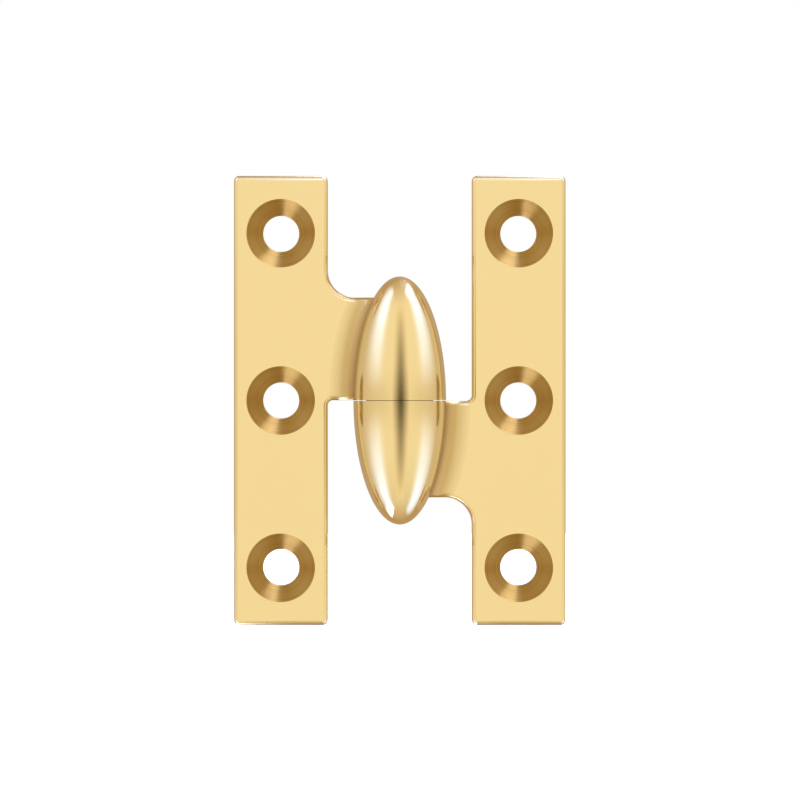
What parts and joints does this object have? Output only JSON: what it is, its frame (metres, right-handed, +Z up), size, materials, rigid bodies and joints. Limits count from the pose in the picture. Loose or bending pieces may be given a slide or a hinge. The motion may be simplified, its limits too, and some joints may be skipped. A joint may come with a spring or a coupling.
{
  "type": "olive knuckle lift-off butt hinge",
  "caption": "Flat butt hinge in polished brass: narrow countersunk leaves joined by offset arms to an olive-shaped knuckle on a concealed pin, and lifting apart.",
  "frame": {"origin": "centre of the olive knuckle: on the pin's axis, at the parting plane between the two halves", "axes": "+Z up along the pin, +X towards the frame leaf with the hinge open flat, -Y out of the countersunk faces"},
  "size_m": [0.0376, 0.0104, 0.0508],
  "materials": {
    "polished_brass": "polished",
    "stainless_steel": "satin",
    "bearing_bronze": "satin"
  },
  "bodies": {
    "frame_leaf_body": {"frame_leaf": "polished_brass", "hinge_pin": "stainless_steel"},
    "washer_body": {"thrust_washer": "bearing_bronze"},
    "door_leaf_body": {"door_leaf": "polished_brass"}
  },
  "joints": [
    {"name": "leaf_turn", "type": "hinge", "parent": "frame_leaf_body", "child": "washer_body", "pos_m": [0, 0, 0], "axis": [0, 0, 1], "range_deg": [-140, 180]},
    {"name": "leaf_lift", "type": "slide", "parent": "washer_body", "child": "door_leaf_body", "axis": [0, 0, 1], "range_m": [0, 0.012]}
  ]
}
